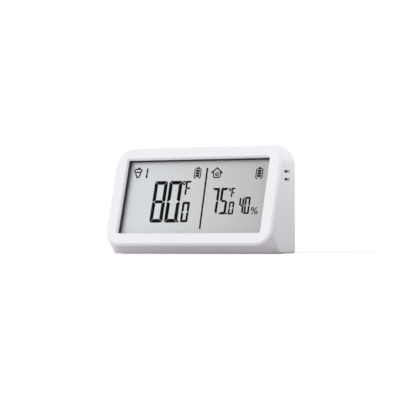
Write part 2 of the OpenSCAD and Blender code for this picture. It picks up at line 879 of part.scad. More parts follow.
module key_screws() {
    color(steel) for (x = [-1, 1]) {
        translate([x * key_post_x, key_in, button_z]) rotate([90, 0, 0])
            screw(key_screw_d, key_t + key_bite, key_head_d, key_head_h);
    }
}

// Flat cable from the key board's front down to the main board's back below the notch
module key_ribbon() {
    end_drop = 3;
    end_rise = 2;
    start = [0, key_in, key_low + end_rise];
    stop = face_point(0, notch_low - end_drop, board_back);
    reach = 2.5;
    path = curve(start, [0, -1, 0], stop, face_out, reach, ribbon_t);
    n = len(path);
    along = [for (i = [0 : n - 1]) unit(path[min(i + 1, n - 1)] - path[max(i - 1, 0)])];
    side = [for (a = along) ribbon_t / 2 * [-a[2], a[1]]];
    upper = [for (i = [0 : n - 1]) [path[i][1], path[i][2]] + side[i]];
    lower = [for (i = [n - 1 : -1 : 0]) [path[i][1], path[i][2]] - side[i]];
    color(grey) translate([-ribbon_w / 2, 0, 0]) rotate([90, 0, 90])
        linear_extrude(ribbon_w) polygon(concat(upper, lower));
}

module tact_switches() {
    well = plunger_in + button_travel + plunger_gap;
    color(dark) for (i = [-1 : 1]) {
        difference() {
            translate([i * button_pitch - switch_w / 2, key_out, button_z - switch_w / 2])
                cube([switch_w, switch_h, switch_w]);
            rod_y(i * button_pitch, switch_top - well, button_z, well + over,
                plunger_d + 2 * plunger_gap);
        }
    }
}

// Push button with a dished face and a collar behind the cover
module button(i) {
    dish_r = 22;
    dish_depth = 0.25;
    face = back_y - button_sink;
    color(grey) difference() {
        union() {
            rod_y(i * button_pitch, collar_in, button_z, face - collar_in, button_d);
            rod_y(i * button_pitch, collar_in, button_z, collar_t, 2 * collar_r);
        }
        translate([i * button_pitch, face + dish_r - dish_depth, button_z]) sphere(dish_r);
    }
}

module channel_button() button(-1);
module memory_button() button(0);
module unit_button() button(1);

module plunger(i) {
    color(steel) rod_y(i * button_pitch, switch_top - plunger_in, button_z,
        plunger_in + plunger_h, plunger_d);
}

module channel_plunger() plunger(-1);
module memory_plunger() plunger(0);
module unit_plunger() plunger(1);

// Door with two lower tabs, and a ribbed snap tongue at its top edge
module battery_door() {
    tab_root = 2.2;
    grip_d = 0.6;
    grip_count = 3;
    grip_pitch = 1.6;
    grip_margin = 1.5;
    grip_l = tongue_w - 2 * grip_margin;
    top = door_z + door_h;
    color(white) {
        difference() {
            back_layer(back_y, door_t) translate([0, door_z + door_h / 2])
                rounded(door_w, door_h, door_r);
            for (x = [-1, 1]) {
                translate([x * (tongue_w + slit_w) / 2 - slit_w / 2, door_in - over, top - tongue_l])
                    cube([slit_w, door_t + 2 * over, tongue_l + over]);
            }
            for (i = [0 : grip_count - 1]) {
                translate([-grip_l / 2, back_y, top - tongue_l / 2 + (i - 1) * grip_pitch])
                    rotate([0, 90, 0]) cylinder(h = grip_l, d = grip_d);
            }
        }
        for (x = [-1, 1]) {
            translate([x * tab_x - tab_w / 2, tab_y, door_z - tab_reach])
                cube([tab_w, tab_t, tab_reach + tab_root]);
            translate([x * tab_x - tab_w / 2, tab_y, door_z])
                cube([tab_w, door_in - tab_y, tab_root]);
        }
    }
}

// Cell along X with its button at -X, its middle on the bay's axis at z
module cell(z) {
    edge = 0.5;
    body_l = cell_l - cell_button_l;
    button_x = -bay_l / 2 + contact_t;
    translate([button_x, cell_y, z]) rotate([0, 90, 0]) {
        cylinder(h = cell_button_l, d = cell_button_d);
        translate([0, 0, cell_button_l]) rotate_extrude() polygon([
            [0, 0], [cell_r - edge, 0], [cell_r, edge],
            [cell_r, body_l - edge], [cell_r - edge, body_l], [0, body_l]
        ]);
    }
}

module upper_cell() color([0.75, 0.55, 0.2]) cell(upper_cell_z);
module lower_cell() color([0.75, 0.55, 0.2]) mirror([1, 0, 0]) cell(lower_cell_z);

// Flat contact on the bay's left end wall, with its solder tail through the wall
module contact_plate(z, tail_z) {
    translate([-bay_l / 2, cell_y - contact_w / 2, z - contact_w / 2])
        cube([contact_t, contact_w, contact_w]);
    translate([-bay_l / 2 - bay_wall - tail_out, cell_y - tail_w / 2, tail_z - tail_t / 2])
        cube([bay_wall + tail_out + contact_t / 2, tail_w, tail_t]);
}

// Cone-shaped contact spring along +X that stands on a plate at the origin
spring_wide = 5.6;
spring_narrow = 3.2;
module contact_spring() {
    wire_r = spring_wire / 2;
    path = coil(spring_wide / 2, spring_narrow / 2, spring_l - 2 * wire_r - cell_gap / 2, spring_turns);
    echo(spring_turn_gap = coil_gap(path, spring_wire));
    translate([wire_r / 2, 0, 0]) tube(path, wire_r, 6, [1, 0, 0]);
}

module positive_plate() {
    color(steel) contact_plate(upper_cell_z, upper_cell_z + tail_off);
}

module negative_spring() {
    color(steel) {
        contact_plate(lower_cell_z, lower_cell_z - tail_off);
        translate([-bay_l / 2 + contact_t, cell_y, lower_cell_z]) contact_spring();
    }
}

// Plate across both cells at the bay's right end, its free sides grown by gap
module link_plate(gap) {
    translate([bay_l / 2 - contact_t - gap, cell_y - contact_w / 2 - gap,
        lower_cell_z - contact_w / 2 - gap])
        cube([contact_t + gap, contact_w + 2 * gap, cell_pitch + contact_w + 2 * gap]);
}

// The link plate with the upper cell's spring
module link_contact() {
    color(steel) {
        link_plate(0);
        translate([bay_l / 2 - contact_t, cell_y, upper_cell_z]) mirror([1, 0, 0]) contact_spring();
    }
}

// Lead from a contact's tail to the board's back
module lead(tail_z, board_u, board_v) {
    reach = 6;
    start = [-bay_l / 2 - bay_wall - tail_out, cell_y, tail_z];
    stop = face_point(board_u, board_v, board_back);
    tube(curve(start, [-1, 0, 0], stop, face_out, reach, lead_d), lead_d / 2, 8, [0, 0, 1]);
}

module positive_lead() color([0.75, 0.1, 0.1]) lead(upper_cell_z + tail_off, lead_u, positive_lead_v);
module negative_lead() color(dark) lead(lower_cell_z - tail_off, lead_u, negative_lead_v);

// Feet

module feet(z, h, d) {
    for (x = [-1, 1], y = foot_y) {
        translate([x * foot_x, y, z]) cylinder(h = h, d = d);
    }
}

module rubber_feet() {
    color(dark) feet(0, foot_gap + foot_seat, foot_d);
}

front_housing();
display_lens();
lens_gasket();
front_polarizer();
front_glass();
rear_glass();
rear_reflector();
lcd_holder();
zebra_strip();
main_board();
board_screws();
controller_blob();
crystal();
capacitors();
sensor_chip();
rf_board();
rf_shield();
rf_antenna();
back_cover();
cover_screws();
key_board();
key_screws();
key_ribbon();
tact_switches();
channel_button();
memory_button();
unit_button();
channel_plunger();
memory_plunger();
unit_plunger();
battery_door();
upper_cell();
lower_cell();
positive_plate();
negative_spring();
link_contact();
positive_lead();
negative_lead();
rubber_feet();
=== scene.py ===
# Desk display for temperature and humidity: a white moulded wedge with a sloping LCD window.
import json
import math

import bmesh
import bpy
from mathutils import Matrix, Vector


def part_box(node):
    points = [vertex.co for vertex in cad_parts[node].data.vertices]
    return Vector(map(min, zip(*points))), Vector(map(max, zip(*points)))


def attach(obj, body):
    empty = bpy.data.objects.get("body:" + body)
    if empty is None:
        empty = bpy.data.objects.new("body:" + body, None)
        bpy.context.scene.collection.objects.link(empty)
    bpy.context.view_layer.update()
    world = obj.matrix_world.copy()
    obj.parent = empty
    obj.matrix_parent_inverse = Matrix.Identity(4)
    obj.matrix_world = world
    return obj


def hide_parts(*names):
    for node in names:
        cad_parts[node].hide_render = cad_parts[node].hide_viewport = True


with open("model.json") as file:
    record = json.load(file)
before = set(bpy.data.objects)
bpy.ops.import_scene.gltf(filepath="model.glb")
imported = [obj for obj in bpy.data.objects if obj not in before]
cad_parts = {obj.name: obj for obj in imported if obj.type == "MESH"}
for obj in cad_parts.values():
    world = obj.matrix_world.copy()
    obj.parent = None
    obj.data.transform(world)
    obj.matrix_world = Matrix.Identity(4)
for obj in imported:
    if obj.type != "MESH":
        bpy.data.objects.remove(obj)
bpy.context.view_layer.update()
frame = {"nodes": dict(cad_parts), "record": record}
nodes = frame["nodes"]

mm = 0.001

# Sizes of the housing, from the frame
shell_low, shell_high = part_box("front_housing")
body_w = shell_high.x - shell_low.x
body_d = shell_high.y - shell_low.y
back_y = shell_high.y
body_top = shell_high.z
base_z = shell_low.z

# Sizes of the housing that its box doesn't give
top_d = 16.4 * mm
face_h = 66.8 * mm
face_lift = 5.8 * mm
face_r = 11 * mm
face_edge = 1.5 * mm
face_ease = 0.8 * mm
back_r = 13.4 * mm
back_low_r = 1.2 * mm
back_least_r = 0.3 * mm
back_edge = 0.8 * mm
base_setback = 9.3 * mm
base_r = 7 * mm
base_edge = 0.6 * mm
wall = 2.2 * mm
lip_t = 1.9 * mm
bezel_side = 8.9 * mm
bezel_low = 8.6 * mm
bezel_top = 7.9 * mm
window_r = 0.8 * mm
window_bevel = 1.05 * mm
window_ease = 0.3 * mm

# Vent slots, whose round ends have a radius a hair under half the height
slot_l = 8 * mm
slot_h = 1.7 * mm
slot_r = 0.499 * slot_h
slot_pitch = 5 * mm
slot_drop = 19.9 * mm
slot_back = 12.4 * mm
slot_ease = 0.12 * mm

# Posts inside the housing. screw_to_post is the way from the screw heads' outer ends to the cover's posts.
board_depth = 11.2 * mm
board_t = 1.6 * mm
board_post_r = 2.1 * mm
board_post_u = 55.4 * mm
board_post_v = (10 * mm, 54.6 * mm)
board_pilot_r = 0.9 * mm
board_pilot_l = 6.9 * mm
screw_to_post = 2.2 * mm
cover_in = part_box("cover_screws")[1].y - screw_to_post
cover_post_r = 3 * mm
cover_post_x = 50 * mm
cover_post_in = 5.6 * mm
cover_post_z = (base_z + wall + cover_post_in, body_top - wall - cover_post_in)
cover_pilot_r = 1.15 * mm
cover_pilot_l = 5 * mm
post_gap = 0.8 * mm
post_root = 0.6 * mm
web_t = 2 * mm

# Back cover, feet and buttons
cover_ease = 0.3 * mm
foot_r = 4 * mm
foot_x = 50 * mm
foot_in = 7 * mm
foot_play = 0.15 * mm
foot_seat = 0.8 * mm
foot_sink = 0.3 * mm
button_r = 4 * mm
collar_t = 1.1 * mm

# Cutters reach this far past a wall, points this close lie in one plane, and points this close are one
cut_over = 1 * mm
flush = 0.02 * mm
weld = 0.002 * mm

# Faces that turn less than this are one flat side, and edges that turn more than this are sharp
flat_turn = math.radians(0.4)
sharp_turn = math.radians(50)

# The face's own frame: X along the housing, Y up the slope, Z out of the face
face_tilt = (
    math.asin((body_d - top_d) / math.hypot(face_h - face_edge, face_edge))
    - math.atan2(face_edge, face_h - face_edge)
)
face_y0 = -body_d / 2 - face_edge * math.sin(face_tilt)
face_turn = Matrix.Rotation(math.pi / 2 - face_tilt, 4, "X")
face_frame = Matrix.Translation((0, face_y0, face_lift)) @ face_turn
# The back's frame: X along the housing, Y up, Z from the back inwards
back_frame = Matrix.Translation((0, back_y, 0)) @ Matrix.Rotation(math.pi / 2, 4, "X")

window_w = body_w - 2 * bezel_side
window_h = face_h - bezel_low - bezel_top
window_mid = bezel_low + window_h / 2
base_front = face_y0 + base_setback
foot_y = (base_front + foot_in, back_y - foot_in)


def face_point(u, v, depth):
    """A point across and up the face and a depth below it."""
    return face_frame @ Vector((u, v, -depth))


# The cover's lower posts start behind the board, and its upper ones behind the LCD's upper edge
lcd_over = 1.3 * mm
lcd_top = bezel_low + window_h + lcd_over
cover_post_y = (face_point(0, cover_post_z[0], board_depth + board_t).y + post_gap,
                face_point(0, lcd_top, board_depth).y + post_gap)

# Steps of a quarter turn in outlines, and of a full turn in round pieces, rods and drawn rings
arc_steps = 12
turn_steps = 64
rod_steps = 32
ring_steps = 24


# Node groups and materials


def node_group(name, inputs, outputs):
    """An empty shader node group with these sockets, given as (name, kind, default value)."""
    group = bpy.data.node_groups.new(name, "ShaderNodeTree")
    for label, kind, value in inputs:
        socket = group.interface.new_socket(label, in_out="INPUT", socket_type=kind)
        socket.default_value = value
    for label, kind in outputs:
        group.interface.new_socket(label, in_out="OUTPUT", socket_type=kind)
    return group, group.nodes.new("NodeGroupInput"), group.nodes.new("NodeGroupOutput")


def noise(tree, vector, scale, detail):
    made = tree.nodes.new("ShaderNodeTexNoise")
    made.inputs["Detail"].default_value = detail
    tree.links.new(vector, made.inputs["Vector"])
    if isinstance(scale, (int, float)):
        made.inputs["Scale"].default_value = scale
    else:
        tree.links.new(scale, made.inputs["Scale"])
    return made.outputs["Fac"]


def math_node(tree, operation, *values):
    made = tree.nodes.new("ShaderNodeMath")
    made.operation = operation
    for socket, value in zip(made.inputs, values):
        if isinstance(value, (int, float)):
            socket.default_value = value
        else:
            tree.links.new(value, socket)
    return made.outputs["Value"]


def mapped(tree, value, from_min, from_max, to_min=0.0, to_max=1.0):
    """A value taken from one range to another, and held at its ends."""
    made = tree.nodes.new("ShaderNodeMapRange")
    for label, number in (("From Min", from_min), ("From Max", from_max),
                          ("To Min", to_min), ("To Max", to_max)):
        made.inputs[label].default_value = number
    tree.links.new(value, made.inputs["Value"])
    return made.outputs["Result"]


def own_axes(tree):
    """The X, Y and Z of the object that wears a material."""
    split = tree.nodes.new("ShaderNodeSeparateXYZ")
    coords = tree.nodes.new("ShaderNodeTexCoord").outputs["Object"]
    tree.links.new(coords, split.inputs["Vector"])
    return split.outputs


def mixed(tree, factor, a, b):
    """A colour between a and b, each a plain colour or a socket."""
    made = tree.nodes.new("ShaderNodeMix")
    made.data_type = "RGBA"
    tree.links.new(factor, made.inputs["Factor"])
    for name, value in (("A", a), ("B", b)):
        socket = next(s for s in made.inputs if s.name == name and s.type == "RGBA")
        if isinstance(value, tuple):
            socket.default_value = (*value, 1)
        else:
            tree.links.new(value, socket)
    return next(s for s in made.outputs if s.type == "RGBA")


def make_surface_group():
    """A slow drift in tone and a fine grain, for moulded, cast and rolled surfaces.
    Stretch lengthens the grain along X, as rolling and drawing do."""
    colour, value = "NodeSocketColor", "NodeSocketFloat"
    tree, given, out = node_group(
        "worked_surface",
        [("Colour", colour, (0.8, 0.8, 0.8, 1)), ("Drift", value, 0.03), ("Drift Scale", value, 40),
         ("Grain Scale", value, 4000), ("Stretch", value, 1), ("Roughness", value, 0.5),
         ("Spread", value, 0.1)],
        [("Colour", colour), ("Roughness", value), ("Height", value)],
    )
    coords = tree.nodes.new("ShaderNodeTexCoord").outputs["Object"]
    drift = noise(tree, coords, given.outputs["Drift Scale"], 2)
    shade = math_node(tree, "MULTIPLY_ADD", math_node(tree, "SUBTRACT", drift, 0.5),
                      given.outputs["Drift"], 1)
    tint = tree.nodes.new("ShaderNodeVectorMath")
    tint.operation = "SCALE"
    tree.links.new(given.outputs["Colour"], tint.inputs["Vector"])
    tree.links.new(shade, tint.inputs["Scale"])
    tree.links.new(tint.outputs["Vector"], out.inputs["Colour"])

    along = tree.nodes.new("ShaderNodeCombineXYZ")
    tree.links.new(math_node(tree, "DIVIDE", 1, given.outputs["Stretch"]), along.inputs["X"])
    along.inputs["Y"].default_value = 1
    along.inputs["Z"].default_value = 1
    drawn = tree.nodes.new("ShaderNodeVectorMath")
    drawn.operation = "MULTIPLY"
    tree.links.new(coords, drawn.inputs[0])
    tree.links.new(along.outputs["Vector"], drawn.inputs[1])
    grain = noise(tree, drawn.outputs["Vector"], given.outputs["Grain Scale"], 3)
    tree.links.new(grain, out.inputs["Height"])
    rough = math_node(tree, "MULTIPLY_ADD", math_node(tree, "SUBTRACT", grain, 0.5),
                      given.outputs["Spread"], given.outputs["Roughness"])
    tree.links.new(rough, out.inputs["Roughness"])
    return tree


worked_surface = make_surface_group()


def new_material(name):
    material = bpy.data.materials.new(name)
    material.use_nodes = True
    return material, material.node_tree, material.node_tree.nodes["Principled BSDF"]


def worked(name, colour, roughness, metallic=0.0, drift=0.03, drift_scale=40, grain=4000, stretch=1.0,
           spread=0.1, depth=0.01, specular=0.5):
    """A material of one colour whose tone, gloss and height come from the worked surface.
    depth is the height of the grain in millimetres."""
    material, tree, shader = new_material(name)
    surface = tree.nodes.new("ShaderNodeGroup")
    surface.node_tree = worked_surface
    for label, value in (("Drift", drift), ("Drift Scale", drift_scale), ("Grain Scale", grain),
                         ("Stretch", stretch), ("Roughness", roughness), ("Spread", spread)):
        surface.inputs[label].default_value = value
    if isinstance(colour, tuple):
        surface.inputs["Colour"].default_value = (*colour, 1)
    else:
        tree.links.new(colour(tree), surface.inputs["Colour"])
    tree.links.new(surface.outputs["Colour"], shader.inputs["Base Color"])
    tree.links.new(surface.outputs["Roughness"], shader.inputs["Roughness"])
    bump = tree.nodes.new("ShaderNodeBump")
    bump.inputs["Distance"].default_value = depth * mm
    tree.links.new(surface.outputs["Height"], bump.inputs["Height"])
    tree.links.new(bump.outputs["Normal"], shader.inputs["Normal"])
    shader.inputs["Metallic"].default_value = metallic
    shader.inputs["Specular IOR Level"].default_value = specular
    return material


def film_painted_light(tree):
    """The LCD's ground carries painted light: a lighter, cool grey at its left fades to a warmer, darker
    painted shade at its right.
    """
    cool = (0.67, 0.703, 0.713)
    warm = (0.485, 0.485, 0.48)
    cool_end = -35 * mm
    return mixed(tree, mapped(tree, own_axes(tree)["X"], cool_end, window_w / 2), cool, warm)


def jacket_tone(tree):
    """The cells' sleeves are a warm foil with a pale printed ring near the button end. The upper cell's
    button points to -X and the lower cell's to +X."""
    foil = (0.5, 0.31, 0.09)
    pale = (0.72, 0.68, 0.6)
    ring_in = 7 * mm
    ring_w = 1.2 * mm
    upper_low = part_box("upper_cell")[0]
    lower_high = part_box("lower_cell")[1]
    upper_at = upper_low.x + ring_in
    lower_at = lower_high.x - ring_in
    axes = own_axes(tree)
    in_upper = math_node(tree, "GREATER_THAN", axes["Z"], (upper_low.z + lower_high.z) / 2)
    ring_at = math_node(tree, "MULTIPLY_ADD", in_upper, upper_at - lower_at, lower_at)
    away = math_node(tree, "ABSOLUTE", math_node(tree, "SUBTRACT", axes["X"], ring_at))
    in_ring = math_node(tree, "LESS_THAN", away, ring_w / 2)
    return mixed(tree, in_ring, foil, pale)


def lens_material():
    """Clear coated lens: it mirrors only at a slant, on its near side, and is clear otherwise."""
    least_mirror = 0.002
    most_mirror = 0.9
    mirror_from = 0.05
    material, tree, shader = new_material("clear_lens")
    shader.inputs["Base Color"].default_value = (0.95, 0.96, 0.97, 1)
    shader.inputs["Metallic"].default_value = 1
    shader.inputs["Roughness"].default_value = 0.04
    slant = tree.nodes.new("ShaderNodeFresnel")
    slant.inputs["IOR"].default_value = 1.47
    coated = mapped(tree, slant.outputs["Fac"], mirror_from, 1, least_mirror, most_mirror)
    far_side = tree.nodes.new("ShaderNodeNewGeometry").outputs["Backfacing"]
    near_side = math_node(tree, "SUBTRACT", 1, far_side)
    tree.links.new(math_node(tree, "MULTIPLY", coated, near_side), shader.inputs["Alpha"])
    return material


housing_white = worked("housing_white", (0.85, 0.868, 0.895), 0.42, drift=0.015, grain=3500, spread=0.12,
                       depth=0.006)
lcd_ink = worked("lcd_ink", (0.004, 0.004, 0.005), 0.6, specular=0.05, depth=0.002)
finishes = {
    "housing_white": housing_white,
    "lens_clear": lens_material(),
    "gasket_foam": worked("gasket_foam", (0.06, 0.06, 0.063), 0.9, drift=0.3, grain=2500, depth=0.05),
    # The film's ground has a painted light falloff from its left to its right.
    "lcd_film": worked("lcd_film", film_painted_light, 0.38, drift=0.01, grain=9000, spread=0.05, depth=0.001),
    "lcd_glass": worked("lcd_glass", (0.62, 0.68, 0.66), 0.08, drift=0.05, depth=0.001),
    "reflector_film": worked("reflector_film", (0.62, 0.63, 0.6), 0.3, metallic=0.4, grain=6000,
                             depth=0.003),
    "holder_plastic": worked("holder_plastic", (0.75, 0.75, 0.72), 0.5),
    "zebra_rubber": worked("zebra_rubber", (0.62, 0.27, 0.3), 0.7),
    "board_green": worked("board_green", (0.02, 0.16, 0.06), 0.3, depth=0.01),
    "screw_steel": worked("screw_steel", (0.6, 0.6, 0.62), 0.32, metallic=1.0, stretch=4),
    "epoxy_black": worked("epoxy_black", (0.015, 0.015, 0.017), 0.4, grain=900, depth=0.03),
    "can_steel": worked("can_steel", (0.66, 0.66, 0.66), 0.3, metallic=1.0, stretch=8),
    "capacitor_sleeve": worked("capacitor_sleeve", (0.02, 0.04, 0.12), 0.3),
    "antenna_wire": worked("antenna_wire", (0.72, 0.42, 0.2), 0.28, metallic=1.0),
    "ribbon_grey": worked("ribbon_grey", (0.42, 0.42, 0.43), 0.5),
    "switch_black": worked("switch_black", (0.02, 0.02, 0.022), 0.5),
    "button_grey": worked("button_grey", (0.36, 0.36, 0.38), 0.45),
    "cell_jacket": worked("cell_jacket", jacket_tone, 0.3, metallic=0.6),
    "contact_steel": worked("contact_steel", (0.7, 0.69, 0.66), 0.25, metallic=1.0, stretch=6),
    "lead_red": worked("lead_red", (0.45, 0.02, 0.02), 0.4),
    "lead_black": worked("lead_black", (0.015, 0.015, 0.016), 0.4),
    "foot_rubber": worked("foot_rubber", (0.72, 0.72, 0.73), 0.75, grain=2000, depth=0.03),
}

for part in frame["record"]["subparts"]:
    for slot in nodes[part["node"]].material_slots:
        slot.material = finishes[part["material_slot"]]


# Mesh helpers


def piece(bm, name, material, body, replaces=()):
    """Turns a bmesh into a finished piece that rides on a body."""
    mesh = bpy.data.meshes.new(name)
    bm.to_mesh(mesh)
    bm.free()
    mesh.materials.append(material)
    obj = bpy.data.objects.new(name, mesh)
    bpy.context.scene.collection.objects.link(obj)
    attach(obj, body)
    if replaces:
        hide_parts(*replaces)
    return obj


def smooth(obj, crease=math.radians(32)):
    """Smooth shading that keeps flat faces flat and edges over the crease angle sharp."""
    for face in obj.data.polygons:
        face.use_smooth = True
    obj.data.set_sharp_from_angle(angle=crease)
    weighted = obj.modifiers.new("even_normals", "WEIGHTED_NORMAL")
    weighted.keep_sharp = True
    weighted.weight = 100


def round_sheet(bm, w, h, r_low, r_high, place):
    """One flat face with round lower and upper corners, its middle at the place's origin."""
    before = set(bm.faces)
    made = bmesh.ops.create_grid(bm, x_segments=1, y_segments=1, size=0.5)
    bmesh.ops.scale(bm, vec=(w, h, 1), verts=made["verts"])
    low = [v for v in made["verts"] if v.co.y < 0]
    high = [v for v in made["verts"] if v.co.y > 0]
    for corners, r in ((low, r_low), (high, r_high)):
        bmesh.ops.bevel(bm, geom=corners, offset=r, offset_type="OFFSET", segments=arc_steps,
                        profile=0.5, affect="VERTICES", material=-1)
    face = next(f for f in bm.faces if f not in before)
    bmesh.ops.transform(bm, matrix=place, verts=face.verts)
    return face


def quarter(r, steps=3):
    """Round edge of radius r: how far in and how far down each of its steps lies."""
    turns = [math.pi / 2 * i / steps for i in range(steps + 1)]
    return [(r * (1 - math.sin(t)), r * (1 - math.cos(t))) for t in turns]


def soft_bevel(size, ease):
    """Flat bevel whose two edges are eased by a radius: how far in and down each of its steps lies."""
    run = size + ease * math.tan(math.pi / 8)
    turns = (0, math.pi / 8, math.pi / 4)
    upper = [(run - ease * math.sin(t), ease * (1 - math.cos(t))) for t in turns]
    return upper + [(down, inset) for inset, down in reversed(upper)]


def hull(bm):
    """Closes a bmesh's points into one convex skin whose flat sides are single faces."""
    bmesh.ops.delete(bm, geom=bm.faces[:], context="FACES_ONLY")
    bmesh.ops.convex_hull(bm, input=bm.verts[:])
    bmesh.ops.delete(bm, geom=[e for e in bm.edges if not e.link_faces], context="EDGES")
    bmesh.ops.delete(bm, geom=[v for v in bm.verts if not v.link_faces], context="VERTS")
    bmesh.ops.dissolve_limit(bm, angle_limit=flat_turn, verts=bm.verts, edges=bm.edges)
    bmesh.ops.recalc_face_normals(bm, faces=bm.faces)


def open_side(bm, direction):
    """Takes away the flat face that looks along a direction."""
    side = max(bm.faces, key=lambda f: (round(f.normal.dot(direction), 3), f.calc_area()))
    bmesh.ops.delete(bm, geom=[side], context="FACES_ONLY")


def reworked(obj, operation, cutter):
    """Joins or cuts a piece's mesh with a bmesh, for good."""
    mesh = bpy.data.meshes.new("cutter")
    cutter.to_mesh(mesh)
    cutter.free()
    tool = bpy.data.objects.new("cutter", mesh)
    bpy.context.scene.collection.objects.link(tool)
    change = obj.modifiers.new("change", "BOOLEAN")
    change.operation = operation
    change.solver = "EXACT"
    change.object = tool
    bpy.context.view_layer.update()
    made = bpy.data.meshes.new_from_object(obj.evaluated_get(bpy.context.evaluated_depsgraph_get()))
    obj.modifiers.remove(change)
    old = obj.data
    made.name = old.name
    obj.data = made
    bpy.data.meshes.remove(old)
    bpy.data.objects.remove(tool)
    bpy.data.meshes.remove(mesh)


def rod(bm, place, r, length):
    """A round rod from the place's origin along its Z."""
    middle = place @ Matrix.Translation((0, 0, length / 2))
    bmesh.ops.create_cone(bm, cap_ends=True, segments=rod_steps, radius1=r, radius2=r, depth=length,
                          matrix=middle)


def block(bm, low, high):
    """A square block between two corners."""
    low, high = Vector(low), Vector(high)
    size = Matrix.Diagonal((*(high - low), 1))
    bmesh.ops.create_cube(bm, size=1, matrix=Matrix.Translation((low + high) / 2) @ size)


def along_y(x, y, z):
    """The place at x, y and z with its Z along +Y."""
    return Matrix.Translation((x, y, z)) @ Matrix.Rotation(-math.pi / 2, 4, "X")


def turned(profile, place):
    """A bmesh of a round piece from its profile, a list of radius and height, about the place's Z."""
    bm = bmesh.new()
    verts = [bm.verts.new((r, 0, z)) for r, z in profile]
    edges = [bm.edges.new(pair) for pair in zip(verts, verts[1:])]
    bmesh.ops.spin(bm, geom=verts + edges, cent=(0, 0, 0), axis=(0, 0, 1), angle=2 * math.pi,
                   steps=turn_steps, use_merge=True)
    bmesh.ops.remove_doubles(bm, verts=bm.verts, dist=weld)
    bmesh.ops.recalc_face_normals(bm, faces=bm.faces)
    bmesh.ops.transform(bm, matrix=place, verts=bm.verts)
    return bm


def eased(bm, edges, size):
    """Rounds some edges."""
    bmesh.ops.bevel(bm, geom=edges, offset=size, offset_type="OFFSET", segments=2, profile=0.5,
                    affect="EDGES", material=-1, clamp_overlap=True)


def softened(node, edge, rounded):
    """A bmesh of a CAD node with its outer corners rounded, where rounded says so of an edge."""
    bm = bmesh.new()
    bm.from_mesh(nodes[node].data)
    bmesh.ops.remove_doubles(bm, verts=bm.verts, dist=weld)
    bmesh.ops.dissolve_limit(bm, angle_limit=flat_turn, verts=bm.verts, edges=bm.edges)
    sharp = [e for e in bm.edges if len(e.link_faces) == 2 and e.is_convex
             and e.calc_face_angle() > sharp_turn and rounded(e)]
    eased(bm, sharp, edge)
    return bm


def added(bm, other):
    """Moves a second bmesh into the first."""
    mesh = bpy.data.meshes.new("scratch")
    other.to_mesh(mesh)
    other.free()
    bm.from_mesh(mesh)
    bpy.data.meshes.remove(mesh)


# Housing


def face_outline(bm, depth, inset):
    place = face_frame @ Matrix.Translation((0, face_h / 2, -depth))
    round_sheet(bm, body_w - 2 * inset, face_h - 2 * inset, face_r - inset, face_r - inset, place)


def back_outline(bm, depth, inset):
    low = base_z + inset
    high = body_top - inset
    low_r = max(back_low_r - inset, back_least_r)
    place = back_frame @ Matrix.Translation((0, (low + high) / 2, depth))
    round_sheet(bm, body_w - 2 * inset, high - low, low_r, back_r - inset, place)


def base_corners(bm, z, r, shift=0.0):
    for side in (-1, 1):
        place = Matrix.Translation((side * (body_w / 2 - base_r), base_front + base_r + shift, z))
        bmesh.ops.create_circle(bm, cap_ends=False, radius=r, segments=4 * arc_steps, matrix=place)


def housing_outside():
    bm = bmesh.new()
    for inset, depth in soft_bevel(face_edge, face_ease):
        face_outline(bm, depth, inset)
    for inset, depth in quarter(back_edge):
        back_outline(bm, depth, inset)
    for inset, depth in quarter(base_edge):
        base_corners(bm, base_z + depth, base_r - inset)
    hull(bm)
    return bm


def housing_inside():
    bm = bmesh.new()
    # The skirt leans, so its inner corners stand a little further back
    shift = wall / 4
    face_outline(bm, lip_t, wall)
    base_corners(bm, base_z + wall, base_r - wall, shift)
    back_outline(bm, 0, wall)
    hull(bm)
    return bm


def housing_shell():
    """The outer and inner skins, open at the face and the back, joined by flat rims, with the bevelled
    window in the face."""
    out = face_frame.to_3x3() @ Vector((0, 0, 1))
    rear = Vector((0, 1, 0))
    bm = housing_outside()
    open_side(bm, out)
    open_side(bm, rear)
    inside = housing_inside()
    open_side(inside, out)
    open_side(inside, rear)
    added(bm, inside)
    place = face_frame @ Matrix.Translation((0, window_mid, 0))
    steps = soft_bevel(window_bevel, window_ease) + [(0, lip_t)]
    edge = steps[0][0]
    corner = window_r + edge
    window = round_sheet(bm, window_w + 2 * edge, window_h + 2 * edge, corner, corner, place)
    for (out_before, down_before), (out_after, down_after) in zip(steps, steps[1:]):
        bmesh.ops.inset_region(bm, faces=[window], thickness=out_before - out_after,
                               depth=down_before - down_after, use_even_offset=True, use_boundary=True)
    bmesh.ops.delete(bm, geom=[window], context="FACES_ONLY")
    to_face = face_frame.inverted()
    rims = [e for e in bm.edges if len(e.link_faces) == 1]
    at_back = [e for e in rims if min(v.co.y for v in e.verts) > back_y - flush]
    in_front = [e for e in rims if e not in at_back]
    at_face = [e for e in in_front if -(to_face @ e.verts[0].co).z < lip_t / 2]
    at_lip = [e for e in in_front if e not in at_face]
    for rim in (at_back, at_face, at_lip):
        bmesh.ops.triangle_fill(bm, edges=rim, use_beauty=True)
    bmesh.ops.recalc_face_normals(bm, faces=bm.faces)
    return bm


def vent_slots():
    bm = bmesh.new()
    inside_x = body_w / 2 - wall - cut_over
    turn = Matrix.Rotation(math.pi / 2, 4, "Y")
    for side in (-0.5, 0.5):
        slot_z = body_top - slot_drop + side * slot_pitch
        place = Matrix.Translation((inside_x, back_y - slot_back, slot_z)) @ turn
        face = round_sheet(bm, slot_h, slot_l, slot_r, slot_r, place)
        grown = bmesh.ops.extrude_face_region(bm, geom=[face])["geom"]
        top = [v for v in grown if isinstance(v, bmesh.types.BMVert)]
        bmesh.ops.translate(bm, vec=(wall + 2 * cut_over, 0, 0), verts=top)
    bmesh.ops.remove_doubles(bm, verts=bm.verts, dist=flush)
    bmesh.ops.recalc_face_normals(bm, faces=bm.faces)
    return bm


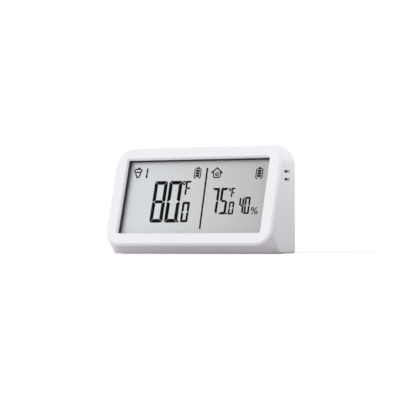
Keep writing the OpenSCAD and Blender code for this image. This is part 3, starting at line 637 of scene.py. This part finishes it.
def board_posts(r, start, length):
    """Rods square to the face, from a depth below it outwards."""
    bm = bmesh.new()
    for u in (-board_post_u, board_post_u):
        for v in board_post_v:
            rod(bm, face_frame @ Matrix.Translation((u, v, -start)), r, length)
    return bm


def cover_posts():
    bm = bmesh.new()
    for x in (-cover_post_x, cover_post_x):
        for y, z in zip(cover_post_y, cover_post_z):
            rod(bm, along_y(x, y, z), cover_post_r, cover_in - y)
    return bm


def cover_webs():
    bm = bmesh.new()
    (low_y, high_y), (low_z, high_z) = cover_post_y, cover_post_z
    for x in (-cover_post_x, cover_post_x):
        left, right = x - web_t / 2, x + web_t / 2
        block(bm, (left, low_y, base_z + wall - post_root), (right, cover_in, low_z))
        block(bm, (left, high_y, high_z), (right, cover_in, body_top - wall + post_root))
    return bm


def screw_pilots():
    bm = bmesh.new()
    for x in (-cover_post_x, cover_post_x):
        for z in cover_post_z:
            place = along_y(x, cover_in - cover_pilot_l, z)
            rod(bm, place, cover_pilot_r, cover_pilot_l + cut_over)
    return bm


def foot_recesses():
    bm = bmesh.new()
    for x in (-foot_x, foot_x):
        for y in foot_y:
            place = Matrix.Translation((x, y, base_z - cut_over))
            rod(bm, place, foot_r + foot_play, foot_seat + cut_over)
    return bm


def is_slot_rim(e):
    """An edge of a vent slot on the outside of the right wall."""
    start = e.verts[0].co
    return (all(v.co.x > body_w / 2 - flush for v in e.verts)
            and abs(start.z - (body_top - slot_drop)) < slot_pitch
            and abs(start.y - (back_y - slot_back)) < (slot_l + slot_h) / 2
            and len(e.link_faces) == 2 and e.calc_face_angle() > sharp_turn)


def round_slot_rims(obj):
    """Eases the slots' edges on the outside."""
    bm = bmesh.new()
    bm.from_mesh(obj.data)
    eased(bm, [e for e in bm.edges if is_slot_rim(e)], slot_ease)
    bm.to_mesh(obj.data)
    bm.free()


shell = piece(housing_shell(), "housing_shell", housing_white, "housing",
              ["front_housing"])
reworked(shell, "UNION", board_posts(board_post_r, board_depth, board_depth - lip_t + post_root))
reworked(shell, "UNION", cover_posts())
reworked(shell, "UNION", cover_webs())
reworked(shell, "DIFFERENCE", board_posts(board_pilot_r, board_depth + cut_over, board_pilot_l))
reworked(shell, "DIFFERENCE", screw_pilots())
reworked(shell, "DIFFERENCE", foot_recesses())
reworked(shell, "DIFFERENCE", vent_slots())
round_slot_rims(shell)
smooth(shell)


# Back cover, battery door and buttons


def on_outside(e):
    """An edge that lies on the back's outer face."""
    return all(v.co.y > back_y - flush for v in e.verts)


cover = piece(softened("back_cover", cover_ease, on_outside), "back_cover_plate", housing_white, "housing",
              ["back_cover"])
smooth(cover)
door = piece(softened("battery_door", cover_ease, on_outside), "battery_door_panel", housing_white, "door",
             ["battery_door"])
smooth(door)


def button_profile(length, collar_r):
    """Dished face at height 0 with a round rim, and a collar at the foot."""
    dish_r = 3.3 * mm
    dish = 0.25 * mm
    rim = 0.35 * mm
    steps = 6
    face = [(dish_r * i / steps, dish * ((i / steps) ** 2 - 1)) for i in range(steps + 1)]
    edge = [(button_r - inset, -down) for inset, down in quarter(rim)]
    step = collar_t - length
    collar = [(button_r, step), (collar_r, step), (collar_r, -length), (0, -length)]
    return face + edge + collar


for key in ("channel", "memory", "unit"):
    low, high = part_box(key + "_button")
    middle = (low + high) / 2
    place = along_y(middle.x, high.y, middle.z)
    profile = button_profile(high.y - low.y, (high.x - low.x) / 2)
    smooth(piece(turned(profile, place), key + "_button_cap", finishes["button_grey"], key + "_key",
                 [key + "_button"]))


# Feet


def feet():
    low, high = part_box("rubber_feet")
    rim = 0.35 * mm
    height = high.z - low.z
    edge = [(foot_r - inset, down) for inset, down in quarter(rim)]
    profile = [(0, 0), *edge, (foot_r, height), (0, height)]
    bm = bmesh.new()
    for x in (-foot_x, foot_x):
        for y in foot_y:
            added(bm, turned(profile, Matrix.Translation((x, y, low.z))))
    return bm


smooth(piece(feet(), "rubber_feet_set", finishes["foot_rubber"], "housing", ["rubber_feet"]))


# Cells


def cell_pieces(node, side):
    """A cell's steel can with its button, and the sleeve round it that is shrunk over both ends. side is
    where the button points along X."""
    low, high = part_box(node)
    middle = (low + high) / 2
    r = (high.z - low.z) / 2
    length = high.x - low.x
    tip_x = high.x if side > 0 else low.x
    turn = Matrix.Rotation(-side * math.pi / 2, 4, "Y")
    place = Matrix.Translation((tip_x, middle.y, middle.z)) @ turn
    nub_r = 1.9 * mm
    nub_l = 1 * mm
    nub_ease = 0.3 * mm
    sleeve_t = 0.15 * mm
    can_r = r - sleeve_t
    step = 0.2 * mm
    bend = 0.4 * mm
    can = [(0, 0), (nub_r - nub_ease, 0), (nub_r, nub_ease), (nub_r, nub_l), (can_r - 1.6 * mm, nub_l),
           (can_r - 1.2 * mm, nub_l + step), (can_r - bend, nub_l + step), (can_r, nub_l + step + bend),
           (can_r, length - step - bend), (can_r - bend, length - step), (can_r - 1.5 * mm, length - step),
           (can_r - 1.8 * mm, length), (0, length)]
    lip = 1.1 * mm
    lip_edge = 0.06 * mm
    tuck = 0.6 * mm
    fold = 0.5 * mm
    # How far in and how far along each step of the sleeve's end lies
    end = [(sleeve_t, tuck), (lip, lip_edge), (lip, 0), (fold, 0), (sleeve_t, sleeve_t), (0, fold)]
    first = [(r - inset, nub_l + sleeve_t + along) for inset, along in end]
    last = [(r - inset, length - sleeve_t - along) for inset, along in reversed(end)]
    sleeve = first + last + first[:1]
    smooth(piece(turned(can, place), node + "_can", finishes["can_steel"], "housing", [node]))
    smooth(piece(turned(sleeve, place), node + "_sleeve", finishes["cell_jacket"], "housing"))


cell_pieces("upper_cell", -1)
cell_pieces("lower_cell", 1)


# Marks of the LCD, drawn in millimetres across and up the face

ink_t = 0.04
film_depth = 5.3

segments_of = {"0": "ABCDEF", "4": "BCFG", "5": "ACDFG", "7": "ABC", "8": "ABCDEFG"}


def shape(bm, points, r=0.0):
    """One flat shape from its corners, which are rounded by r."""
    before = set(bm.faces)
    face = bm.faces.new([bm.verts.new((u, v, 0)) for u, v in points])
    face.normal_update()
    if r:
        bmesh.ops.bevel(bm, geom=face.verts[:], offset=r, offset_type="OFFSET", segments=3, profile=0.5,
                        affect="VERTICES", material=-1, clamp_overlap=True)
    return next(f for f in bm.faces if f not in before)


def band(bm, face, width):
    """Leaves only a band of this width along the edge of a flat shape."""
    bmesh.ops.inset_region(bm, faces=[face], thickness=width, use_even_offset=True, use_boundary=True)
    bmesh.ops.delete(bm, geom=[face], context="FACES_ONLY")


def stroke(bm, points, width, r=0.0):
    """A line of one width through some points, with mitred turns and corners rounded by r."""
    path = [Vector(point) for point in points]
    ways = [(b - a).normalized() for a, b in zip(path, path[1:])]
    sides = [Vector((-way.y, way.x)) for way in ways]
    turns = [(a + b) / (1 + a.dot(b)) for a, b in zip(sides, sides[1:])]
    steps = [side * width / 2 for side in [sides[0], *turns, sides[-1]]]
    left = [point + step for point, step in zip(path, steps)]
    right = [point - step for point, step in zip(path, steps)]
    shape(bm, left + right[::-1], r)


def ring(bm, u, v, w, h, width):
    """A round or oval ring."""
    made = bmesh.ops.create_circle(bm, cap_ends=True, radius=0.5, segments=ring_steps)
    bmesh.ops.scale(bm, vec=(w, h, 1), verts=made["verts"])
    bmesh.ops.translate(bm, vec=(u, v, 0), verts=made["verts"])
    band(bm, made["verts"][0].link_faces[0], width)


def dot(bm, u, v, size):
    """A square dot with round corners."""
    stroke(bm, [(u - size / 2, v), (u + size / 2, v)], size, size * 0.3)


def digit(bm, figure, u, v, w, h, s, gap=0.03):
    """A seven-bar figure with its lower left corner at u, v, bars s wide and a gap beside each mitre."""
    a, b = w / 2, h / 2
    corner = 0.45 * s
    cut = 0.13 * s
    half = 0.43 * s
    tip = 0.08 * s
    slack = 0.1 * s
    r = 0.12 * s
    top = [(-a + gap + cut, b - cut), (-a + gap + corner, b), (a - gap - corner, b),
           (a - gap - cut, b - cut), (a - s - gap, b - s), (-a + s + gap, b - s)]
    left = [(-a, b - corner - gap), (-a + cut, b - cut - gap), (-a + s, b - s - gap),
            (-a + s, half + slack), (-a + corner, tip), (-a, tip)]
    middle = [(-a + s - corner, 0), (-a + s, half), (a - s, half),
              (a - s + corner, 0), (a - s, -half), (-a + s, -half)]
    drawn = {"A": (top, 1, 1), "D": (top, 1, -1), "F": (left, 1, 1), "E": (left, 1, -1),
             "B": (left, -1, 1), "C": (left, -1, -1), "G": (middle, 1, 1)}
    for name in segments_of[figure]:
        points, flip_u, flip_v = drawn[name]
        shape(bm, [(u + a + flip_u * x, v + b + flip_v * y) for x, y in points], r)


def letter_f(bm, u, v, w, h, s):
    """The letter of the scale, its lower left corner at u, v and its strokes s wide."""
    stem = u + s / 2
    crossing = v + 0.467 * h
    r = 0.25 * s
    stroke(bm, [(stem, v), (stem, crossing - 0.1 * s)], s, r)
    stroke(bm, [(stem, crossing), (stem, v + h - s / 2), (u + w, v + h - s / 2)], s, r)
    stroke(bm, [(u + s * 1.1, crossing), (u + w * 0.9, crossing)], s, r)


def battery(bm, u, v):
    """Upright battery: cap, outline that is open at its foot, and three bars. u is its middle and v its
    foot."""
    half_w = 2.2
    line = 0.68
    bar_w = 2.7
    bar_h = 1.42
    stroke(bm, [(u - 1.05, v + 7.15), (u + 1.05, v + 7.15)], 1.3, 0.35)
    for side in (-1, 1):
        edge = u + side * half_w
        shoulder = [(u + side * 1.2, v + 6.75), (edge - side * 0.4, v + 6.6), (edge, v + 6.1)]
        foot = [(edge, v + 1.1), (edge - side * 0.45, v + 0.4), (edge - side * 1.3, v + 0.2)]
        stroke(bm, shoulder + foot, line, 0.1)
    for i in range(3):
        rise = v + 1.9 + 1.72 * i
        stroke(bm, [(u - bar_w / 2, rise), (u + bar_w / 2, rise)], bar_h, 0.15)


def ink(bm, name):
    """Raises the drawn shapes off the film by the ink's thickness and lays them on it."""
    raised = bmesh.ops.extrude_face_region(bm, geom=bm.faces[:])
    top = [v for v in raised["geom"] if isinstance(v, bmesh.types.BMVert)]
    bmesh.ops.translate(bm, vec=(0, 0, ink_t), verts=top)
    bmesh.ops.recalc_face_normals(bm, faces=bm.faces)
    bmesh.ops.scale(bm, vec=(mm, mm, mm), verts=bm.verts)
    place = face_frame @ Matrix.Translation((0, 0, -film_depth * mm))
    bmesh.ops.transform(bm, matrix=place, verts=bm.verts)
    piece(bm, name, lcd_ink, "housing")


def probe_reading():
    bm = bmesh.new()
    for figure, u in (("8", -31.45), ("0", -20.65)):
        digit(bm, figure, u, 17.1, 9.55, 28.5, 2.5, 0.14)
    dot(bm, -10.75, 17.8, 1.4)
    digit(bm, "0", -8.95, 17.2, 5.35, 13.95, 1.62)
    ring(bm, -9.9, 44.1, 2.3, 3.2, 0.8)
    letter_f(bm, -8.6, 35.9, 3.8, 9.6, 1.3)
    ink(bm, "lcd_probe_reading")


def room_reading():
    bm = bmesh.new()
    for figure, u in (("7", 11.3), ("5", 17.75)):
        digit(bm, figure, u, 22.4, 5.4, 17.95, 1.7)
    dot(bm, 23.75, 22.9, 1.05)
    digit(bm, "0", 24.65, 22.2, 3.7, 8.75, 1.15)
    ring(bm, 24.0, 39.1, 1.7, 2.1, 0.65)
    letter_f(bm, 25.1, 34.0, 2.55, 6.3, 1.0)
    ink(bm, "lcd_room_reading")


def humidity_reading():
    bm = bmesh.new()
    for figure, u, w in (("4", 31.8, 3.4), ("0", 35.7, 3.8)):
        digit(bm, figure, u, 22.5, w, 11.55, 1.25)
    ring(bm, 41.7, 25.9, 2.2, 2.5, 0.7)
    ring(bm, 44.5, 23.4, 2.2, 2.5, 0.7)
    stroke(bm, [(41.3, 22.3), (44.7, 27.0)], 0.6)
    ink(bm, "lcd_humidity_reading")


def probe_marks():
    """Floating probe with its pointed cap, the channel's figure and the probe's battery."""
    bm = bmesh.new()
    cap = [(-48.75, 52.95), (-47.75, 54.5), (-43.6, 54.75), (-42.0, 53.1), (-43.1, 51.5), (-47.3, 51.6)]
    band(bm, shape(bm, cap, 0.5), 0.9)
    shape(bm, [(-46.1, 54.65), (-43.9, 54.75), (-44.95, 55.7)], 0.2)
    stroke(bm, [(-47.2, 51.5), (-45.8, 48.5), (-44.5, 48.5), (-43.2, 51.4)], 0.95, 0.2)
    for low, high in ((47.9, 51.1), (51.3, 54.65)):
        stroke(bm, [(-38.55, low), (-38.55, high)], 1.15, 0.25)
    battery(bm, -1.15, 46.9)
    ink(bm, "lcd_probe_marks")


def room_marks():
    """House with a round room mark, the divider and the display's own battery."""
    bm = bmesh.new()
    stroke(bm, [(10.3, 51.9), (12.7, 54.05), (15.2, 51.7)], 0.85, 0.15)
    stroke(bm, [(8.85, 50.5), (10.25, 51.95)], 1.2, 0.3)
    stroke(bm, [(15.25, 51.75), (16.6, 50.35)], 1.2, 0.3)
    walls = [(10.6, 51.0), (10.6, 48.1), (11.3, 47.45), (14.7, 47.45), (15.4, 48.1), (15.4, 51.0)]
    stroke(bm, walls, 0.8, 0.2)
    ring(bm, 12.95, 49.8, 2.7, 2.8, 0.8)
    battery(bm, 43.15, 46.1)
    stroke(bm, [(5.48, 54.15), (6.11, 12.7)], 1.2)
    ink(bm, "lcd_room_marks")


for draw in (probe_reading, room_reading, humidity_reading, probe_marks, room_marks):
    draw()


# Floor, light and camera


def light_path(tree):
    """1 for rays that the camera sees directly, in a mirror or through glass."""
    path = tree.nodes.new("ShaderNodeLightPath").outputs
    seen = math_node(tree, "MAXIMUM", path["Is Camera Ray"], path["Is Glossy Ray"])
    return math_node(tree, "MAXIMUM", seen, path["Is Transmission Ray"])


# Glow of the floor to the camera, which fades in between two shares of the way to the housing's edge and
# leaves a painted shadow under the object, and what floor and sky give to the object
seen_glow = 0.16
glow_fades = (0.95, 1.05)
# Painted glow that the floor gives the object, strongest at the left end
painted_glow_left = 0.22
painted_glow_right = 0.14
painted_glow_tint = (1, 0.95, 0.97)
bounce_tone = (0.36, 0.31, 0.33)
# Painted shade on the floor by the right wall, in the light that it throws back
shade_tone = (0.03, 0.03, 0.03)
wall_shade = 4 * mm
sky_strength = 0.56


def floor_material():
    """White to the camera and clear from below; where the object stands it lacks the glow, a painted
    shadow under the object. The light that it throws back is dimmer and warmer, a painted glow that falls
    from the left end to the middle, with a painted shade that makes it weak by the right wall."""
    material = bpy.data.materials.new("floor_white")
    material.use_nodes = True
    tree = material.node_tree
    tree.nodes.clear()
    seen = light_path(tree)
    axes = own_axes(tree)

    # Painted shade: within wall_shade of the right wall, beside it and behind its front, the floor throws
    # back less light
    from_wall = math_node(tree, "ABSOLUTE", math_node(tree, "SUBTRACT", axes["X"], body_w / 2))
    before_wall = math_node(tree, "SUBTRACT", base_front, axes["Y"])
    away = math_node(tree, "MAXIMUM", from_wall, before_wall)
    lit = math_node(tree, "MINIMUM", math_node(tree, "DIVIDE", away, wall_shade), 1)
    thrown = mixed(tree, lit, shade_tone, bounce_tone)
    paint = tree.nodes.new("ShaderNodeBsdfDiffuse")
    tree.links.new(mixed(tree, seen, thrown, (1, 1, 1)), paint.inputs["Color"])

    # Painted shadow: the glow that the camera sees is taken away where the object stands
    reach_x = math_node(tree, "DIVIDE", math_node(tree, "ABSOLUTE", axes["X"]), body_w / 2)
    reach_y = math_node(tree, "DIVIDE", math_node(tree, "ABSOLUTE", axes["Y"]), body_d / 2)
    reach = math_node(tree, "MAXIMUM", reach_x, reach_y)
    glow = mapped(tree, reach, *glow_fades, 0, seen_glow)
    fall = mapped(tree, axes["X"], -body_w / 2, 0, painted_glow_left, painted_glow_right)
    painted_bounce = math_node(tree, "MULTIPLY", fall, lit)
    more = math_node(tree, "SUBTRACT", glow, painted_bounce)
    lift = tree.nodes.new("ShaderNodeEmission")
    lift.inputs["Color"].default_value = (*painted_glow_tint, 1)
    tree.links.new(math_node(tree, "MULTIPLY_ADD", more, seen, painted_bounce), lift.inputs["Strength"])

    both = tree.nodes.new("ShaderNodeAddShader")
    tree.links.new(paint.outputs["BSDF"], both.inputs[0])
    tree.links.new(lift.outputs["Emission"], both.inputs[1])
    clear = tree.nodes.new("ShaderNodeBsdfTransparent").outputs["BSDF"]
    above = tree.nodes.new("ShaderNodeMixShader")
    tree.links.new(tree.nodes.new("ShaderNodeNewGeometry").outputs["Backfacing"], above.inputs["Fac"])
    tree.links.new(both.outputs["Shader"], above.inputs[1])
    tree.links.new(clear, above.inputs[2])
    out = tree.nodes.new("ShaderNodeOutputMaterial")
    tree.links.new(above.outputs["Shader"], out.inputs["Surface"])
    return material


def make_floor():
    """A flat floor that the soft feet sink into a little."""
    floor_half = 4
    bm = bmesh.new()
    bmesh.ops.create_grid(bm, x_segments=1, y_segments=1, size=floor_half,
                          matrix=Matrix.Translation((0, 0, foot_sink)))
    mesh = bpy.data.meshes.new("floor")
    bm.to_mesh(mesh)
    bm.free()
    mesh.materials.append(floor_material())
    floor = bpy.data.objects.new("floor", mesh)
    bpy.context.scene.collection.objects.link(floor)


def make_world():
    """A white sky that lights the object less than it shows."""
    world = bpy.data.worlds.new("studio")
    world.use_nodes = True
    tree = world.node_tree
    back = tree.nodes["Background"]
    back.inputs["Color"].default_value = (1, 1, 1, 1)
    strength = mapped(tree, light_path(tree), 0, 1, sky_strength, 1)
    tree.links.new(strength, back.inputs["Strength"])
    bpy.context.scene.world = world


def make_sun(name, strength, spread, aim):
    """A far soft lamp that shines along aim. It doesn't mirror in the lens."""
    lamp = bpy.data.lights.new(name, "SUN")
    lamp.energy = strength
    lamp.angle = math.radians(spread)
    obj = bpy.data.objects.new(name, lamp)
    obj.rotation_euler = Vector(aim).to_track_quat("-Z", "Y").to_euler()
    obj.visible_glossy = False
    bpy.context.scene.collection.objects.link(obj)


def make_softbox(name, power, size, place, target):
    """A lamp of a width and height at a place, turned to its target. The camera doesn't see the lamp."""
    lamp = bpy.data.lights.new(name, "AREA")
    lamp.shape = "RECTANGLE"
    lamp.energy = power
    lamp.size, lamp.size_y = size
    obj = bpy.data.objects.new(name, lamp)
    obj.location = place
    obj.rotation_euler = (Vector(target) - Vector(place)).to_track_quat("-Z", "Y").to_euler()
    obj.visible_camera = False
    bpy.context.scene.collection.objects.link(obj)


def make_camera():
    """The camera of the photograph, whose frame is 400 pixels square."""
    frame_px = 400
    focal_px = 1908.7
    middle_px = (201.87, 199.615)
    azimuth = math.radians(27.0)
    elevation = math.radians(-0.975)
    roll = math.radians(-0.19)
    distance = 1239.8 * mm
    aim = Vector((0, 5.54 * mm, 34.95 * mm))
    back = Vector((math.sin(azimuth) * math.cos(elevation), -math.cos(azimuth) * math.cos(elevation),
                   math.sin(elevation)))
    right = Vector((math.cos(azimuth), math.sin(azimuth), 0))
    up = back.cross(right)
    turn = Matrix((right, up, back)).transposed().to_4x4() @ Matrix.Rotation(roll, 4, "Z")
    lens = bpy.data.cameras.new("camera")
    lens.sensor_width = 36
    lens.lens = focal_px / frame_px * lens.sensor_width
    lens.shift_x = ((frame_px - 1) / 2 - middle_px[0]) / frame_px
    lens.shift_y = (middle_px[1] - (frame_px - 1) / 2) / frame_px
    lens.clip_start = 10 * mm
    camera = bpy.data.objects.new("camera", lens)
    camera.matrix_world = Matrix.Translation(aim + back * distance) @ turn
    bpy.context.scene.collection.objects.link(camera)
    bpy.context.scene.camera = camera


make_floor()
make_world()
make_sun("key", 1.55, 40, (0.38, 0.8, -0.42))
make_sun("back_fill", 0.8, 40, (0.35, -0.85, -0.4))
make_sun("right_fill", 0.36, 50, (-1, -0.05, 0))
make_softbox("side_lamp", 0.013, (120 * mm, 20 * mm), (100 * mm, 22 * mm, 84 * mm),
             (60 * mm, 10 * mm, 60 * mm))
make_camera()
bpy.context.scene.view_settings.view_transform = "Standard"
